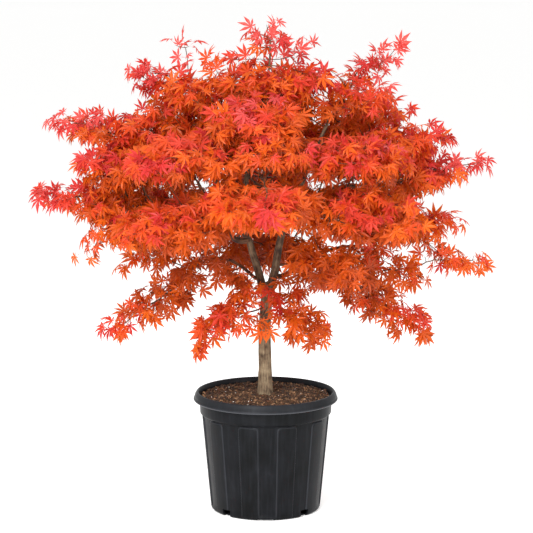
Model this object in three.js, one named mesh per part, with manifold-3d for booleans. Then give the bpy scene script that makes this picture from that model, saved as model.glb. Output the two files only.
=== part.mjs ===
// A young maple in autumn leaf, growing in a black nursery pot.
//
// The frame is in millimetres, +Z up. The origin is the middle of the pot's flat underside. The front
// is the side that faces -Y. Bearings are degrees round the trunk: 0 is right (+X), 90 is the back
// (+Y), 180 is left and 270 is the front.
//
// The pot and its soil are turned shapes. Trunk, stems and boughs are cylinders bent along a curve,
// each one tapering. Every mass of leaves is a ball pressed into a flat, uneven pad that points away
// from the trunk, and is cut clear of the wood and of the pads made before it.
import * as THREE from "three";
import { mergeVertices } from "three/addons/utils/BufferGeometryUtils.js";
import Module from "manifold-3d";

const wasm = await Module();
wasm.setup();

// ---- driving dimensions ----

const POT = {
  height: 295,
  footRadius: 135.5,
  wallRadius: 157.5, // outside, just under the collar
  collarRadius: 162.5,
  lipRadius: 178,
  wall: 2.5,
  floor: 4,
};
// Raised panels down the pot's wall. They stand proud of the bands between them by their relief.
const PANELS = { count: 10, firstBearing: 290, halfWidthDegrees: 9, relief: 2.5, foot: 14, top: 234 };
// Cuts in the edge of the foot: slots for water, and shallow recesses between them.
const DRAIN = { count: 4, width: 23, height: 17, firstBearing: 45 };
const FOOT_RECESS = { count: 4, width: 38, height: 2.5, firstBearing: 90 };
const SOIL = { edge: 281, top: 294, flatRadius: 34 };

const GROUND = SOIL.top + 0.4; // the trunk's flat foot rests just clear of the soil
const FORK = [5, 0, 560];
const TRUNK = { footRadius: 21, radius: 16.8, forkRadius: 14.5 };

const GAP = 0.6; // between pieces that touch
const LEAF_GAP = 3; // between two masses of leaves, and from a mass to the wood in it

// ---- materials ----

const material = (color, roughness) => new THREE.MeshStandardMaterial({ color, roughness, metalness: 0 });
const MATERIALS = {
  pot: material(0x2b2c2f, 0.5),
  soil: material(0x4a2f20, 0.95),
  bark: material(0x8f7a62, 0.85),
  young: material(0x5f3f28, 0.7),
  red: material(0xd6402c, 0.5),
  orange: material(0xc4531d, 0.5),
};

// ---- helpers ----

// The point at a bearing, a distance from the pot's axis and a height.
function place(bearing, radius, z) {
  const angle = THREE.MathUtils.degToRad(bearing);
  return new THREE.Vector3(radius * Math.cos(angle), radius * Math.sin(angle), z);
}

// A closed geometry as a solid that can be cut.
function solidOf(geometry) {
  const bare = geometry.clone();
  bare.deleteAttribute("normal");
  bare.deleteAttribute("uv");
  const merged = mergeVertices(bare, 1e-3);
  const mesh = new wasm.Mesh({
    numProp: 3,
    vertProperties: merged.attributes.position.array,
    triVerts: new Uint32Array(merged.index.array),
  });
  return new wasm.Manifold(mesh);
}

// The largest body of a solid, as a geometry.
function geometryOf(solid) {
  const bodies = solid.decompose();
  const largest = bodies.reduce((best, body) => (body.volume() > best.volume() ? body : best));
  const mesh = largest.getMesh();
  const geometry = new THREE.BufferGeometry();
  geometry.setAttribute("position", new THREE.BufferAttribute(mesh.vertProperties, 3));
  geometry.setIndex(new THREE.BufferAttribute(mesh.triVerts, 1));
  return geometry;
}

const plant = new THREE.Group();

function add(name, geometry, surface) {
  const mesh = new THREE.Mesh(geometry, surface);
  mesh.name = name;
  plant.add(mesh);
}

// ---- pot and soil ----

const wallSlope = (POT.wallRadius - POT.footRadius) / PANELS.top;

// The pot's section as lines of [radius, height]: the outside from the middle of the underside out,
// up the wall and collar and over the lip, and the inside from the lip down to the floor.
function potSection() {
  const { height, footRadius, wallRadius, collarRadius, lipRadius, wall, floor } = POT;
  const panelFoot = footRadius + wallSlope * PANELS.foot;
  const outside = [
    [0, 0],
    [footRadius - 4, 0],
    [footRadius, 4],
    [panelFoot, PANELS.foot],
    [wallRadius - 0.5, PANELS.top],
    [wallRadius, 238],
    [collarRadius, 244],
    [collarRadius + 1, height - 21],
    [lipRadius - 1, height - 21],
    [lipRadius, height - 15],
    [lipRadius - 8, height],
  ];
  const inside = [
    [lipRadius - 11.5, height],
    [collarRadius - 1, height - 24],
    [collarRadius - wall, 244],
    [wallRadius - wall, 238],
    [wallRadius - 0.5 - wall, PANELS.top],
    [panelFoot - wall, PANELS.foot],
    [footRadius - 3, floor],
    [0, floor],
  ];
  return { outside, inside };
}

// How far a bearing lies from the middle of the nearest panel, in degrees.
function fromPanel(bearing) {
  const pitch = 360 / PANELS.count;
  const past = THREE.MathUtils.euclideanModulo(bearing - PANELS.firstBearing, pitch);
  return Math.min(past, pitch - past);
}

// Boxes set into the pot's foot at even bearings, to be cut away.
function footCuts({ count, width, height, firstBearing }) {
  const depth = 24;
  return Array.from({ length: count }, (_, i) => {
    const bearing = firstBearing + (360 / count) * i;
    const box = new THREE.BoxGeometry(depth, width, 2 * height);
    box.rotateZ(THREE.MathUtils.degToRad(bearing));
    const middle = place(bearing, POT.footRadius, 0);
    return solidOf(box.translate(middle.x, middle.y, middle.z));
  });
}

// The turned pot. Its wall is drawn in between the panels, and its foot has drain slots and shallow
// recesses.
function pot() {
  const { outside, inside } = potSection();
  const line = [...outside, ...inside].map(([radius, z]) => new THREE.Vector2(radius, z));
  const step = 360 / (4 * PANELS.count);
  const geometry = new THREE.LatheGeometry(line, 4 * PANELS.count);
  geometry.rotateX(Math.PI / 2);
  geometry.rotateZ(THREE.MathUtils.degToRad((PANELS.firstBearing - step / 2) % step));
  const position = geometry.attributes.position;
  const point = new THREE.Vector3();
  for (let i = 0; i < position.count; i++) {
    point.fromBufferAttribute(position, i);
    const onWall = point.z >= PANELS.foot - 1 && point.z <= PANELS.top + 1;
    const bearing = THREE.MathUtils.radToDeg(Math.atan2(point.y, point.x));
    if (onWall && fromPanel(bearing) > PANELS.halfWidthDegrees) {
      const share = 1 - PANELS.relief / Math.hypot(point.x, point.y);
      position.setXY(i, point.x * share, point.y * share);
    }
  }
  const cuts = [...footCuts(DRAIN), ...footCuts(FOOT_RECESS)];
  return geometryOf(cuts.reduce((solid, cut) => solid.subtract(cut), solidOf(geometry)));
}

// The soil: it fills the pot just inside its bands, and its top is a low dome with a flat middle.
function soil() {
  const clear = PANELS.relief + 1.2;
  const walls = potSection().inside.slice(1, -1).reverse();
  const line = [new THREE.Vector2(0, POT.floor + GAP)];
  walls.forEach(([radius, z]) => line.push(new THREE.Vector2(radius - clear, z + GAP)));
  const edgeRadius = walls.at(-1)[0] - clear + 1;
  const rise = SOIL.top - SOIL.edge;
  line.push(new THREE.Vector2(edgeRadius, SOIL.edge));
  line.push(new THREE.Vector2(edgeRadius * 0.62, SOIL.edge + rise * 0.72));
  line.push(new THREE.Vector2(SOIL.flatRadius, SOIL.top));
  line.push(new THREE.Vector2(0, SOIL.top));
  return new THREE.LatheGeometry(line, 20).rotateX(Math.PI / 2);
}

// ---- wood ----

// A limb: a closed cylinder bent along the curve, with its radius given along its length.
function limb(curve, radiusAt, sides, steps) {
  const geometry = new THREE.CylinderGeometry(1, 1, 1, sides, steps);
  const frames = curve.computeFrenetFrames(steps, false);
  const position = geometry.attributes.position;
  const point = new THREE.Vector3();
  for (let i = 0; i < position.count; i++) {
    const step = Math.round((position.getY(i) + 0.5) * steps);
    const radius = radiusAt(step / steps);
    curve.getPointAt(step / steps, point);
    point.addScaledVector(frames.normals[step], position.getX(i) * radius);
    point.addScaledVector(frames.binormals[step], -position.getZ(i) * radius);
    position.setXYZ(i, point.x, point.y, point.z);
  }
  return geometry;
}

const through = (...points) => new THREE.CatmullRomCurve3(points.map((point) => new THREE.Vector3(...point)));
const taper = (from, to, power = 1) => (t) => from + (to - from) * t ** power;

// The trunk flares at the soil and leans a little. It ends at the fork, where two stems go on: the
// leader, which runs to the tip of the crown, and the right stem, which leans out.
const curves = {
  trunk: through([0, 0, GROUND - 10], [-1, 0, GROUND + 60], [-2, 2, GROUND + 150], FORK),
  leader: through(
    [-1, 2, 552],
    [-26, 8, 618],
    [-44, 12, 695],
    [-48, 6, 800],
    [-30, 0, 930],
    [-4, -2, 1030],
    [9, 0, 1090],
    [11, 0, 1165],
  ),
  right: through(
    [10, -2, 552],
    [27, -6, 612],
    [34, -8, 668],
    [62, -12, 745],
    [104, -14, 850],
    [155, -6, 965],
    [200, 6, 1030],
  ),
};

function trunkRadius(t) {
  const flare = (TRUNK.footRadius - TRUNK.radius) * Math.exp(-9 * t);
  return TRUNK.radius + (TRUNK.forkRadius - TRUNK.radius) * t + flare;
}

// The boughs: what each grows from and how far along it, the bearing, reach and height where its
// mass of leaves begins, how much it arches above a straight line, and its radius at the joint.
const BOUGHS = [
  { name: "left_long", from: "leader", at: 0.13, bearing: 181, reach: 285, z: 742, arch: 46, radius: 8 },
  { name: "left_high", from: "leader", at: 0.3, bearing: 175, reach: 262, z: 905, arch: 24, radius: 6.5 },
  { name: "left_upper", from: "leader", at: 0.62, bearing: 178, reach: 130, z: 1008, arch: 10, radius: 4.2 },
  { name: "left_fall", from: "trunk", at: 0.94, bearing: 184, reach: 185, z: 598, arch: 52, radius: 5 },
  { name: "right_low", from: "trunk", at: 0.97, bearing: 4, reach: 235, z: 655, arch: 26, radius: 7 },
  { name: "right_long", from: "right", at: 0.4, bearing: 2, reach: 268, z: 800, arch: 22, radius: 6 },
  { name: "right_high", from: "right", at: 0.62, bearing: 358, reach: 215, z: 893, arch: 10, radius: 4.6 },
  { name: "right_fall", from: "right_low", at: 0.3, bearing: 348, reach: 225, z: 572, arch: 26, radius: 3.6 },
  { name: "front_mid", from: "leader", at: 0.26, bearing: 266, reach: 150, z: 818, arch: 14, radius: 6 },
  { name: "front_left", from: "leader", at: 0.18, bearing: 228, reach: 165, z: 752, arch: 18, radius: 5.6 },
  { name: "front_right", from: "right", at: 0.3, bearing: 316, reach: 165, z: 765, arch: 16, radius: 5.6 },
  { name: "back_mid", from: "leader", at: 0.24, bearing: 92, reach: 150, z: 800, arch: 16, radius: 6 },
  { name: "back_left", from: "leader", at: 0.16, bearing: 138, reach: 165, z: 745, arch: 20, radius: 5.8 },
  { name: "back_right", from: "right", at: 0.26, bearing: 42, reach: 165, z: 752, arch: 16, radius: 5.8 },
];
const BOUGH_TIP = { share: 0.45, least: 1.8 }; // radius at the tip, as a share of that at the joint

// A bough's curve: from the middle of what it grows from, arching over and swaying a little from
// side to side, to where its leaves begin.
function boughCurve(bough) {
  const start = curves[bough.from].getPointAt(bough.at);
  const end = place(bough.bearing, bough.reach, bough.z);
  const aside = end.clone().sub(start).cross(new THREE.Vector3(0, 0, 1)).normalize();
  const between = (share, lift, sway) => {
    const point = start.clone().lerp(end, share).addScaledVector(aside, sway);
    point.z += bough.arch * lift;
    return point;
  };
  return new THREE.CatmullRomCurve3([start, between(0.3, 0.8, 5), between(0.66, 0.95, -4), end]);
}

// What the wood is cut by: the soil's top, and then each limb, a little thicker, in growing order.
// Leaves keep the wider room.
const ground = solidOf(new THREE.BoxGeometry(200, 200, 40).translate(0, 0, GROUND - 20));
const wood = [{ touch: ground, room: ground }];

function addWood(name, curve, radiusAt, sides, steps, surface) {
  const whole = solidOf(limb(curve, radiusAt, sides, steps));
  add(name, geometryOf(wood.reduce((solid, older) => solid.subtract(older.touch), whole)), surface);
  wood.push({
    touch: solidOf(limb(curve, (t) => radiusAt(t) + GAP, sides, steps)),
    room: solidOf(limb(curve, (t) => radiusAt(t) + LEAF_GAP, 5, Math.max(5, Math.ceil(steps / 2)))),
  });
}

addWood("trunk", curves.trunk, trunkRadius, 12, 7, MATERIALS.bark);
addWood("stem_leader", curves.leader, taper(11, 1.8, 0.75), 8, 13, MATERIALS.bark);
addWood("stem_right", curves.right, taper(11.5, 2.6, 0.85), 8, 11, MATERIALS.bark);
BOUGHS.forEach((bough) => {
  curves[bough.name] = boughCurve(bough);
  const tip = Math.max(BOUGH_TIP.least, bough.radius * BOUGH_TIP.share);
  addWood("bough_" + bough.name, curves[bough.name], taper(bough.radius, tip), 6, 5, MATERIALS.young);
});

// ---- masses of leaves ----

// Each mass is a pad: its bearing, its inner end and its tip as [distance from the axis, height],
// half its width and half its thickness. The small ones come first, so that it is the large ones
// that are cut where two meet.
const PADS = [
  { name: "spire", bearing: 0, inner: [11, 1112], tip: [12, 1224], width: 46, thick: 42 },
  { name: "top_left", bearing: 168, inner: [30, 1062], tip: [158, 1146], width: 48, thick: 26 },
  { name: "top_right", bearing: 8, inner: [40, 1084], tip: [126, 1166], width: 40, thick: 25 },
  { name: "top_right_front", bearing: 335, inner: [62, 1046], tip: [186, 1098], width: 54, thick: 30 },
  { name: "left_top", bearing: 171, inner: [96, 1072], tip: [240, 1160], width: 60, thick: 34 },
  { name: "left_twig", bearing: 184, inner: [366, 690], tip: [480, 626], width: 32, thick: 22 },
  { name: "left_fall", bearing: 182, inner: [104, 618], tip: [418, 412], width: 74, thick: 54 },
  { name: "right_fall", bearing: 357, inner: [112, 606], tip: [440, 412], width: 74, thick: 54 },
  { name: "skirt_left", bearing: 214, inner: [18, 556], tip: [204, 410], width: 84, thick: 48 },
  { name: "skirt_right", bearing: 318, inner: [18, 552], tip: [192, 418], width: 80, thick: 46 },
  { name: "right_tip", bearing: 354, inner: [340, 640], tip: [592, 612], width: 60, thick: 30 },
  { name: "right_top", bearing: 8, inner: [160, 1018], tip: [362, 1150], width: 78, thick: 42 },
  { name: "right_upper", bearing: 350, inner: [130, 985], tip: [338, 1046], width: 78, thick: 40 },
  { name: "left_upper", bearing: 178, inner: [100, 1004], tip: [348, 1080], width: 98, thick: 46 },
  { name: "crown", bearing: 195, inner: [-140, 1040], tip: [140, 1046], width: 118, thick: 46 },
  { name: "left_high", bearing: 176, inner: [240, 915], tip: [548, 962], width: 106, thick: 46 },
  { name: "left_shoulder", bearing: 166, inner: [80, 930], tip: [330, 985], width: 104, thick: 42 },
  { name: "right_high", bearing: 356, inner: [196, 890], tip: [474, 930], width: 98, thick: 44 },
  { name: "right_high_back", bearing: 20, inner: [130, 940], tip: [390, 985], width: 92, thick: 40 },
  { name: "right_long", bearing: 3, inner: [250, 798], tip: [562, 864], width: 96, thick: 42 },
  { name: "left_long", bearing: 181, inner: [266, 744], tip: [594, 788], width: 108, thick: 44 },
  { name: "left_mid", bearing: 190, inner: [170, 838], tip: [486, 866], width: 106, thick: 50 },
  { name: "left_under", bearing: 199, inner: [180, 692], tip: [420, 702], width: 88, thick: 36 },
  { name: "left_low", bearing: 183, inner: [110, 652], tip: [366, 612], width: 86, thick: 42 },
  { name: "right_low", bearing: 6, inner: [216, 674], tip: [502, 706], width: 102, thick: 44 },
  { name: "right_under", bearing: 343, inner: [130, 648], tip: [422, 580], width: 92, thick: 50 },
  { name: "front_upper", bearing: 262, inner: [44, 984], tip: [302, 966], width: 122, thick: 46 },
  { name: "back_upper", bearing: 86, inner: [54, 990], tip: [312, 966], width: 122, thick: 46 },
  { name: "front_crown", bearing: 276, inner: [76, 902], tip: [352, 912], width: 96, thick: 36 },
  { name: "front_high_left", bearing: 226, inner: [100, 892], tip: [446, 882], width: 122, thick: 46 },
  { name: "front_high_right", bearing: 318, inner: [100, 886], tip: [448, 880], width: 122, thick: 46 },
  { name: "back_high_left", bearing: 132, inner: [90, 886], tip: [452, 874], width: 128, thick: 46 },
  { name: "back_high_right", bearing: 50, inner: [90, 886], tip: [452, 876], width: 128, thick: 46 },
  { name: "front_mid", bearing: 268, inner: [130, 800], tip: [502, 784], width: 130, thick: 44 },
  { name: "front_left", bearing: 228, inner: [150, 744], tip: [502, 724], width: 124, thick: 44 },
  { name: "front_right", bearing: 316, inner: [140, 766], tip: [506, 742], width: 126, thick: 50 },
  { name: "back_mid", bearing: 92, inner: [130, 786], tip: [512, 766], width: 130, thick: 44 },
  { name: "back_low", bearing: 94, inner: [46, 640], tip: [340, 590], width: 150, thick: 56 },
  { name: "back_left", bearing: 140, inner: [150, 738], tip: [522, 720], width: 126, thick: 44 },
  { name: "back_right", bearing: 40, inner: [150, 744], tip: [522, 726], width: 126, thick: 44 },
  { name: "front_low_right", bearing: 313, inner: [96, 668], tip: [366, 596], width: 100, thick: 50 },
];
const FINE_PAD_AREA = 17500; // a pad of more than this, half length by half width, has more faces
const RED_ABOVE = 800; // pads that reach higher than this have turned red, and the others orange

// A pad: a ball of many flat faces, pressed and stretched to the pad's size. It narrows towards its
// tip, fingers stand out round its rim, waves run over it, and its sides and tip droop.
function padGeometry(pad, index, grow) {
  const inner = place(pad.bearing, ...pad.inner);
  const tip = place(pad.bearing, ...pad.tip);
  const centre = inner.clone().add(tip).divideScalar(2);
  const along = tip.clone().sub(inner);
  const half = along.length() / 2;
  along.normalize();
  const across = place(pad.bearing + 90, 1, 0);
  const up = along.clone().cross(across).normalize();
  const detail = half * pad.width > FINE_PAD_AREA ? 2 : 1;
  const geometry = new THREE.IcosahedronGeometry(1, detail);
  const position = geometry.attributes.position;
  const unit = new THREE.Vector3();
  const point = new THREE.Vector3();
  for (let i = 0; i < position.count; i++) {
    unit.fromBufferAttribute(position, i);
    const round = Math.atan2(unit.y, unit.x);
    const fingers = 0.07 * Math.sin(5 * round + 1.7 * index) * (1 - unit.z ** 2);
    const waves = 0.06 * Math.sin(6 * unit.x + 4 * unit.y + 2.3 * index);
    const size = 0.92 + fingers + waves;
    const narrow = 1 - 0.26 * unit.x;
    const droop = 0.3 * (unit.y ** 2 + 0.5 * Math.max(0, unit.x) ** 2) - 0.2;
    point.copy(centre);
    point.addScaledVector(along, unit.x * (half + grow));
    point.addScaledVector(across, unit.y * (narrow * size * pad.width + grow));
    point.addScaledVector(up, unit.z * (size * pad.thick + grow) - droop * pad.thick);
    position.setXYZ(i, point.x, point.y, point.z);
  }
  return geometry;
}

const taken = wood.map((piece) => piece.room);
PADS.forEach((pad, index) => {
  const whole = solidOf(padGeometry(pad, index, 0));
  const solid = taken.reduce((left, other) => left.subtract(other), whole);
  taken.push(solidOf(padGeometry(pad, index, LEAF_GAP)));
  const surface = pad.tip[1] > RED_ABOVE ? MATERIALS.red : MATERIALS.orange;
  add("leaves_" + pad.name, geometryOf(solid), surface);
});

add("pot", pot(), MATERIALS.pot);
add("soil", soil(), MATERIALS.soil);

export default plant;
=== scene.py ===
# %% [markdown]
# # A young maple in autumn leaf, in its nursery pot
#
# The CAD part gives the frame: a pot, its soil, a forked trunk with its boughs, and forty-one
# closed masses that stand for the leaves. Here every one of those gets the surface of the real thing.
# The pot is turned again with its rolled lip, the soil gets its chips of bark, the wood gets its
# furrows, and inside each mass twigs are grown from the boughs and hung with leaves.

# %% Load the frame
import math

import bpy
import numpy as np
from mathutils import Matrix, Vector
from mathutils.bvhtree import BVHTree


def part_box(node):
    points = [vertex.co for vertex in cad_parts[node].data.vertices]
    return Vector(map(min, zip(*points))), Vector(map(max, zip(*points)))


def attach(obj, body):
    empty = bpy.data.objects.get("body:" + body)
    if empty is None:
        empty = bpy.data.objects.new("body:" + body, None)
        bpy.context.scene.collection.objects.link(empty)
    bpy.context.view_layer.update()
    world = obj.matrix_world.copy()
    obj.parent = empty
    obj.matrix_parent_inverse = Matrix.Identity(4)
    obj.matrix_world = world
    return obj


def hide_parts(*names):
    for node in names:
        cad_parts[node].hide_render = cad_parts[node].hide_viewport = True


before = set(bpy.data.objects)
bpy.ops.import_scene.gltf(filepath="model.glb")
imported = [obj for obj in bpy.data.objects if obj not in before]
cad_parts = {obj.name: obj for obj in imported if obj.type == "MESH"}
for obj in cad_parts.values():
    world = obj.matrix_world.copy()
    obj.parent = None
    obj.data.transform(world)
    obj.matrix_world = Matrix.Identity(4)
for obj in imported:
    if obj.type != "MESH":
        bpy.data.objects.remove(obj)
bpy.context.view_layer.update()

MM = 0.001
UP = np.array([0.0, 0.0, 1.0])
FRONT = np.array([0.0, -1.0, 0.0])
LEAF_NODES = sorted(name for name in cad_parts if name.startswith("leaves_"))
LIMBS = ["trunk", "stem_leader", "stem_right"]
LIMBS += sorted(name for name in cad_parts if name.startswith("bough_"))
print("frame:", len(LEAF_NODES), "leaf masses and", len(LIMBS), "limbs")

# %% [markdown]
# ## Helpers for pieces and finishes
#
# A piece is a mesh with all of its place in its points. Numpy hands the points and faces over as
# whole arrays, which is far quicker than adding them one by one. A finish is a node tree, and one
# small function adds any node with its settings and its links.


# %% Pieces from arrays
def make_piece(name, points, faces, finishes, finish_of_face=None, smooth=True):
    """Makes a mesh object from rows of points and rows of point numbers, three or four to a face.
    A row of four whose last two numbers are the same is a triangle."""
    mesh = bpy.data.meshes.new(name)
    faces = np.asarray(faces)
    if faces.shape[1] == 4:
        sides = np.where(faces[:, 2] == faces[:, 3], 3, 4)
        corners = faces[np.arange(4)[None, :] < sides[:, None]]
    else:
        sides = np.full(len(faces), 3)
        corners = faces.ravel()
    starts = np.concatenate([[0], np.cumsum(sides)[:-1]])
    mesh.vertices.add(len(points))
    mesh.vertices.foreach_set("co", np.asarray(points, np.float32).ravel())
    mesh.loops.add(len(corners))
    mesh.loops.foreach_set("vertex_index", corners.astype(np.int32))
    mesh.polygons.add(len(faces))
    mesh.polygons.foreach_set("loop_start", starts.astype(np.int32))
    mesh.polygons.foreach_set("use_smooth", np.full(len(faces), smooth))
    for finish in finishes:
        mesh.materials.append(finish)
    if finish_of_face is not None:
        mesh.polygons.foreach_set("material_index", finish_of_face.astype(np.int32))
    mesh.update(calc_edges=True)
    mesh.validate()
    piece = bpy.data.objects.new(name, mesh)
    bpy.context.scene.collection.objects.link(piece)
    return piece


def settle(piece, slot, *nodes):
    """Rides the piece on the part's one body, and hides the CAD nodes that it stands for.
    The slot, the finish that it stands for, is not used.
    """
    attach(piece, "root")
    if nodes:
        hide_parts(*nodes)
    return piece


def join_arrays(parts):
    """Joins (points, faces) pairs into one pair, moving each one's point numbers along."""
    counts = [len(points) for points, faces in parts]
    starts = np.concatenate([[0], np.cumsum(counts)[:-1]])
    points = np.concatenate([points for points, faces in parts])
    faces = np.concatenate([faces + start for (_, faces), start in zip(parts, starts)])
    return points, faces


# %% Finishes from nodes
def linear(code):
    """An sRGB hex colour as the linear red, green, blue and alpha that a shader works with."""
    values = np.array([int(code[i : i + 2], 16) for i in (1, 3, 5)]) / 255
    values = np.where(values <= 0.04045, values / 12.92, ((values + 0.055) / 1.055) ** 2.4)
    return (*values.tolist(), 1.0)


def add_node(tree, kind, sockets=None, stops=None, **settings):
    """Adds a node. sockets gives each input a value, or an output to link it from; stops are the
    places and colours of a colour ramp, where one that lies between two others is listed last."""
    node = tree.nodes.new(kind)
    for key, value in settings.items():
        setattr(node, key, value)
    for key, value in (sockets or {}).items():
        if isinstance(value, bpy.types.NodeSocket):
            tree.links.new(value, node.inputs[key])
        else:
            node.inputs[key].default_value = value
    for i, (place, colour) in enumerate(stops or []):
        ramp = node.color_ramp
        stop = ramp.elements[i] if i < 2 else ramp.elements.new(place)
        stop.position = place
        stop.color = colour
    return node


def start_finish(name, **sockets):
    """A new material with its Principled shader; constant values go straight on its sockets."""
    finish = bpy.data.materials.new(name)
    finish.use_nodes = True
    tree = finish.node_tree
    shader = tree.nodes["Principled BSDF"]
    for key, value in sockets.items():
        shader.inputs[key.replace("_", " ").title().replace("Ior", "IOR")].default_value = value
    return finish, tree, shader


# %% [markdown]
# ## Camera, light and floor
#
# The camera stands five metres off and a little above the crown, with a long lens, so that the
# pot's rim shows as a flat ellipse. The light is that of a white tent: a bright surround and four
# soft boxes. The strongest stands high on the left and models the leaves, a weaker one fills from
# the right, one low in front reaches the pot and the hanging leaves, and one behind lights the
# crown's rim. The paper floor glows a little, as it does when it is lit from below.

# %% Camera
CAMERA_PLACE = (2.4 * MM, -5.0, 1.39)
CAMERA_PITCH = math.radians(8.92)
SENSOR_WIDTH, FOCAL_LENGTH = 36, 139.5  # mm
camera_data = bpy.data.cameras.new("camera")
camera_data.sensor_width = SENSOR_WIDTH
camera_data.lens = FOCAL_LENGTH
camera = bpy.data.objects.new("camera", camera_data)
camera.location = CAMERA_PLACE
camera.rotation_euler = (math.pi / 2 - CAMERA_PITCH, 0, 0)
bpy.context.scene.collection.objects.link(camera)
bpy.context.scene.camera = camera

# %% Light and floor
SURROUND = 0.8
LIGHT_AIM = Vector((0, 0, 0.7))
SOFT_BOXES = {  # each one's place and width in metres, and its power in watts
    "key_box": ((-1.1, -2.9, 3.1), 1.3, 145),
    "fill_box": ((2.4, -2.6, 1.2), 2.0, 45),
    "low_box": ((-1.0, -3.4, 0.6), 1.6, 62),
    "back_box": ((0.6, 2.6, 3.0), 1.8, 50),
}
FLOOR_HALF, FLOOR_GLOW = 60, 0.25
FLOOR_GAP = 0.4 * MM  # below the pot


def soft_box(name, place, size, watts):
    """A square area light at a place, turned towards the middle of the crown."""
    data = bpy.data.lights.new(name, "AREA")
    data.size = size
    data.energy = watts
    light = bpy.data.objects.new(name, data)
    light.location = place
    light.rotation_euler = (LIGHT_AIM - Vector(place)).to_track_quat("-Z", "Y").to_euler()
    bpy.context.scene.collection.objects.link(light)


for name, (place, size, watts) in SOFT_BOXES.items():
    soft_box(name, place, size, watts)

world = bpy.data.worlds.new("tent")
world.use_nodes = True
world.node_tree.nodes["Background"].inputs["Color"].default_value = (1, 1, 1, 1)
world.node_tree.nodes["Background"].inputs["Strength"].default_value = SURROUND
bpy.context.scene.world = world
bpy.context.scene.view_settings.view_transform = "Standard"

paper, _, _ = start_finish("white_paper_floor", base_color=linear("#f6f6f5"), roughness=0.9,
                            emission_color=(1, 1, 1, 1), emission_strength=FLOOR_GLOW)
floor_points = FLOOR_HALF * np.array([(-1, -1, 0), (1, -1, 0), (1, 1, 0), (-1, 1, 0)])
floor = make_piece("floor", floor_points - FLOOR_GAP * UP, [[0, 1, 2, 3]], [paper])
print("camera,", len(SOFT_BOXES), "soft boxes and a floor")

# %% [markdown]
# ## The pot
#
# A nursery pot is blow or injection moulded in black polyethylene. Its wall carries ten raised
# panels, round at the top, its collar steps out to nest in the next pot, and its lip is rolled
# over like an upside-down J. The whole of it is one profile turned about the middle, with the
# radius pulled in between the panels; the water slots in its foot, and the shallow recesses between
# them, are then cut by boxes.

# %% Turned shapes
POT_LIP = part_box("pot")[1].x  # metres
POT_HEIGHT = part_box("pot")[1].z
PANELS = 10
PANEL_BEARING = 290  # degrees, the middle of the first panel
PANEL_HALF = 9  # degrees
PANEL_TOP, PANEL_ROUND = 235, 9  # mm: the panels' height, and the radius of their corners
PANEL_RELIEF, PANEL_SLOPE = 3.0, 2.2  # mm: how high the step at a panel's edge is, and how wide
EDGE_HIGHLIGHT_WIDTH = 1.3  # mm to either side of that edge: the width of the painted highlight along it


def round_corners(corners, reach, steps=4):
    """Follows straight lines from corner to corner and rounds each corner with a curve that starts
    and ends `reach` from it: a blend of three points by (1-t)^2, 2t(1-t) and t^2."""
    corners = np.array(corners, float)
    t = np.linspace(0, 1, steps)[:, None]
    line = [corners[:1]]
    for before, corner, after, r in zip(corners, corners[1:], corners[2:], reach[1:-1]):
        into, out = before - corner, after - corner
        into *= min(r, 0.45 * np.linalg.norm(into)) / np.linalg.norm(into)
        out *= min(r, 0.45 * np.linalg.norm(out)) / np.linalg.norm(out)
        line.append((1 - t) ** 2 * (corner + into) + 2 * t * (1 - t) * corner + t**2 * (corner + out))
    return np.concatenate(line + [corners[-1:]])


def fill_in(line, longest):
    """Adds points to a line so that no straight stretch is longer than `longest`."""
    rows = []
    for a, b in zip(line, line[1:]):
        steps = max(1, math.ceil(np.linalg.norm(b - a) / longest))
        rows.append(a + (b - a) * np.arange(steps)[:, None] / steps)
    return np.concatenate(rows + [line[-1:]])


def turned_faces(rows, columns):
    """Faces of a grid that closes on itself sideways and has one pole point before its first row
    and one after its last. The rows start at point 1."""
    i, j = np.meshgrid(np.arange(rows - 1), np.arange(columns), indexing="ij")
    here, right = 1 + i * columns + j, 1 + i * columns + (j + 1) % columns
    body = np.stack([here, right, right + columns, here + columns], -1).reshape(-1, 4)
    ring = np.arange(columns)
    after = (ring + 1) % columns
    last = 1 + (rows - 1) * columns
    first_cap = np.stack([0 * ring, 1 + after, 1 + ring, 1 + ring], -1)
    last_cap = np.stack([0 * ring + last + columns, last + ring, last + after, last + after], -1)
    return np.concatenate([first_cap, body, last_cap])


# %% Pot surface
outside = [(0, 0), (131.5, 0), (135.5, 4), (136.8, 14), (157.2, 234), (157.6, 238.4), (162.3, 242.6),
           (163.5, 274), (177, 273.6), (178.9, 277), (176.6, 280), (175.2, 287), (170.5, 294.8)]
outside_round = [0, 2, 3, 4, 6, 2, 2, 2, 1.5, 2, 2.5, 5, 3]
inside = [(166.5, 294.9), (162.6, 286), (161.5, 264), (160, 243), (154.6, 238), (152.2, 234),
          (131.8, 14), (130, 4), (0, 4)]
inside_round = [3, 4, 8, 3, 3, 6, 4, 3, 0]
section = round_corners(outside + inside, outside_round + inside_round) * MM
section = fill_in(section, 7 * MM)
pitch = 360 / PANELS
# Columns in degrees from a panel's middle, as first, last and count: they are closest at its edge.
stretches = [(0, 7.6, 5), (8.2, 9.9, 8), (10.6, pitch / 2, 5)]
one_side = np.concatenate([np.linspace(*stretch) for stretch in stretches])
across = np.concatenate([-one_side[::-1][:-1], one_side[:-1]])
bearing = np.concatenate([PANEL_BEARING + pitch * k + across for k in range(PANELS)])
from_panel = np.abs(np.tile(across, PANELS))
turn = np.radians(bearing)
section_r, section_z = section[1:-1, 0][:, None], section[1:-1, 1][:, None]
# How far a point lies outside its panel's outline: a box with round upper corners, in mm.
beyond_side = np.radians(from_panel - PANEL_HALF)[None, :] * section_r / MM + PANEL_ROUND
beyond_top = section_z / MM - PANEL_TOP + PANEL_ROUND
outline = np.hypot(np.maximum(beyond_side, 0), np.maximum(beyond_top, 0)) - PANEL_ROUND
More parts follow.
